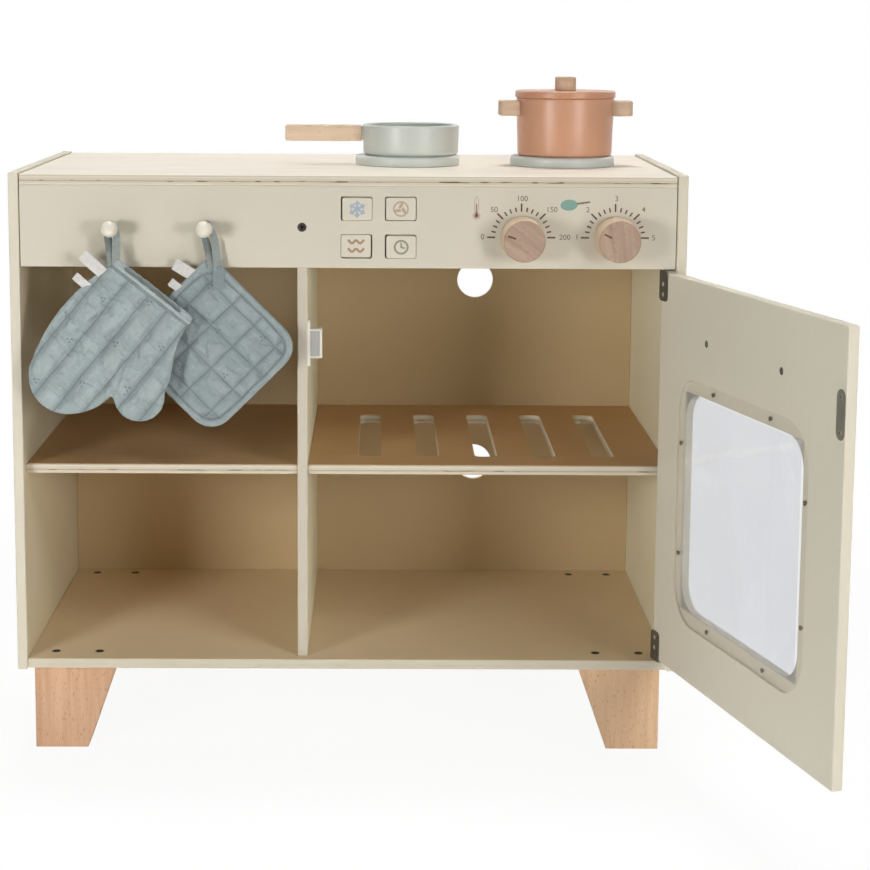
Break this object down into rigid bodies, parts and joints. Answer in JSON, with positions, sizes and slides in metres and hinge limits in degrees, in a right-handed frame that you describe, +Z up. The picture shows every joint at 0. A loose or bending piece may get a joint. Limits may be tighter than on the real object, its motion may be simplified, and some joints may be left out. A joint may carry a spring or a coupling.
{
  "type": "toy kitchen",
  "caption": "Low wooden toy kitchen with an open shelf, a windowed oven door, push buttons, turning knobs, hob discs with pan and lidded pot, and a hanging oven mitt and pot holder.",
  "frame": {"origin": "middle of the floor area that the kitchen covers with its door open, at the floor", "axes": "+X to the right seen from the front, along the width; +Y from the front to the back; +Z up"},
  "size_m": [0.6782, 0.6088, 0.6116],
  "materials": {
    "cream_paint": "satin paint on board",
    "worktop_paint": "satin paint on board",
    "beech": "oiled beech",
    "pale_beech": "sealed pale beech",
    "sage_paint": "satin paint on turned wood",
    "terracotta_paint": "satin paint on turned wood",
    "clear_pane": "clear acrylic sheet",
    "white_plastic": "moulded plastic",
    "plated_steel": "zinc-plated sheet",
    "dark_screw": "black screws",
    "bright_screw": "zinc-plated screws",
    "cotton": "quilted printed cotton",
    "cotton_tape": "cotton tape"
  },
  "bodies": {
    "cabinet": {"side_panel_left": "cream_paint", "side_panel_right": "cream_paint", "worktop": "worktop_paint", "control_fascia": "cream_paint", "bottom_panel": "cream_paint", "divider_panel": "cream_paint", "back_panel": "cream_paint", "shelf_left": "cream_paint", "oven_rack": "cream_paint", "leg_front_left": "beech", "leg_front_right": "beech", "leg_rear_left": "beech", "leg_rear_right": "beech", "leg_screws": "dark_screw", "panel_screws": "dark_screw", "back_screws": "bright_screw", "hob_disc_left": "sage_paint", "hob_disc_right": "sage_paint", "peg_left": "pale_beech", "peg_right": "pale_beech", "button_tray": "white_plastic", "tray_screws": "bright_screw", "button_spring_1": "plated_steel", "button_spring_2": "plated_steel", "button_spring_3": "plated_steel", "button_spring_4": "plated_steel", "hinge_pivots": "plated_steel", "catch_housing": "white_plastic", "catch_magnet": "plated_steel", "catch_screws": "bright_screw"},
    "door": {"door_panel": "cream_paint", "window_pane": "clear_pane", "window_screws": "dark_screw", "door_handle": "beech", "handle_screws": "dark_screw", "strike_plate": "plated_steel", "strike_screws": "bright_screw", "hinge_leaf_top": "plated_steel", "hinge_leaf_bottom": "plated_steel", "hinge_screws": "bright_screw"},
    "knob_left": {"knob_left": "beech", "knob_left_spindle": "beech", "knob_left_retainer": "bright_screw"},
    "knob_right": {"knob_right": "beech", "knob_right_spindle": "beech", "knob_right_retainer": "bright_screw"},
    "button_1": {"button_1": "cream_paint"},
    "button_2": {"button_2": "cream_paint"},
    "button_3": {"button_3": "cream_paint"},
    "button_4": {"button_4": "cream_paint"},
    "pan": {"pan_body": "sage_paint", "pan_handle": "beech"},
    "pot": {"pot_body": "terracotta_paint", "pot_handles": "beech"},
    "lid": {"pot_lid": "terracotta_paint", "lid_knob": "beech"},
    "mitt": {"mitt": "cotton", "mitt_loop": "cotton_tape"},
    "pot_holder": {"pot_holder": "cotton", "pot_holder_loop": "cotton_tape"}
  },
  "joints": [
    {"name": "door_swing", "type": "hinge", "parent": "cabinet", "child": "door", "pos_m": [0.24537, 0.00942, 0.26575], "axis": [0, 0, 1], "range_deg": [-106, 3]},
    {"name": "knob_left_turn", "type": "hinge", "parent": "cabinet", "child": "knob_left", "pos_m": [0.11467, -0.01058, 0.4732], "axis": [0, -1, 0], "continuous": true},
    {"name": "knob_right_turn", "type": "hinge", "parent": "cabinet", "child": "knob_right", "pos_m": [0.19767, -0.01058, 0.4732], "axis": [0, -1, 0], "continuous": true},
    {"name": "button_1_press", "type": "slide", "parent": "cabinet", "child": "button_1", "axis": [0, 1, 0], "range_m": [0, 0.003], "stiffness_N_per_m": 300, "deforming": ["button_spring_1"]},
    {"name": "button_2_press", "type": "slide", "parent": "cabinet", "child": "button_2", "axis": [0, 1, 0], "range_m": [0, 0.003], "stiffness_N_per_m": 300, "deforming": ["button_spring_2"]},
    {"name": "button_3_press", "type": "slide", "parent": "cabinet", "child": "button_3", "axis": [0, 1, 0], "range_m": [0, 0.003], "stiffness_N_per_m": 300, "deforming": ["button_spring_3"]},
    {"name": "button_4_press", "type": "slide", "parent": "cabinet", "child": "button_4", "axis": [0, 1, 0], "range_m": [0, 0.003], "stiffness_N_per_m": 300, "deforming": ["button_spring_4"]},
    {"name": "pan_lift", "type": "slide", "parent": "cabinet", "child": "pan", "axis": [0, 0, 1], "range_m": [0, 0.12]},
    {"name": "pot_lift", "type": "slide", "parent": "cabinet", "child": "pot", "axis": [0, 0, 1], "range_m": [0, 0.12]},
    {"name": "lid_lift", "type": "slide", "parent": "pot", "child": "lid", "axis": [0, 0, 1], "range_m": [0, 0.08]},
    {"name": "mitt_swing", "type": "hinge", "parent": "cabinet", "child": "mitt", "pos_m": [-0.24703, -0.00808, 0.4817], "axis": [0, -1, 0], "range_deg": [-12, 12]},
    {"name": "pot_holder_swing", "type": "hinge", "parent": "cabinet", "child": "pot_holder", "pos_m": [-0.16453, -0.00158, 0.4817], "axis": [0, -1, 0], "range_deg": [-12, 12]}
  ]
}
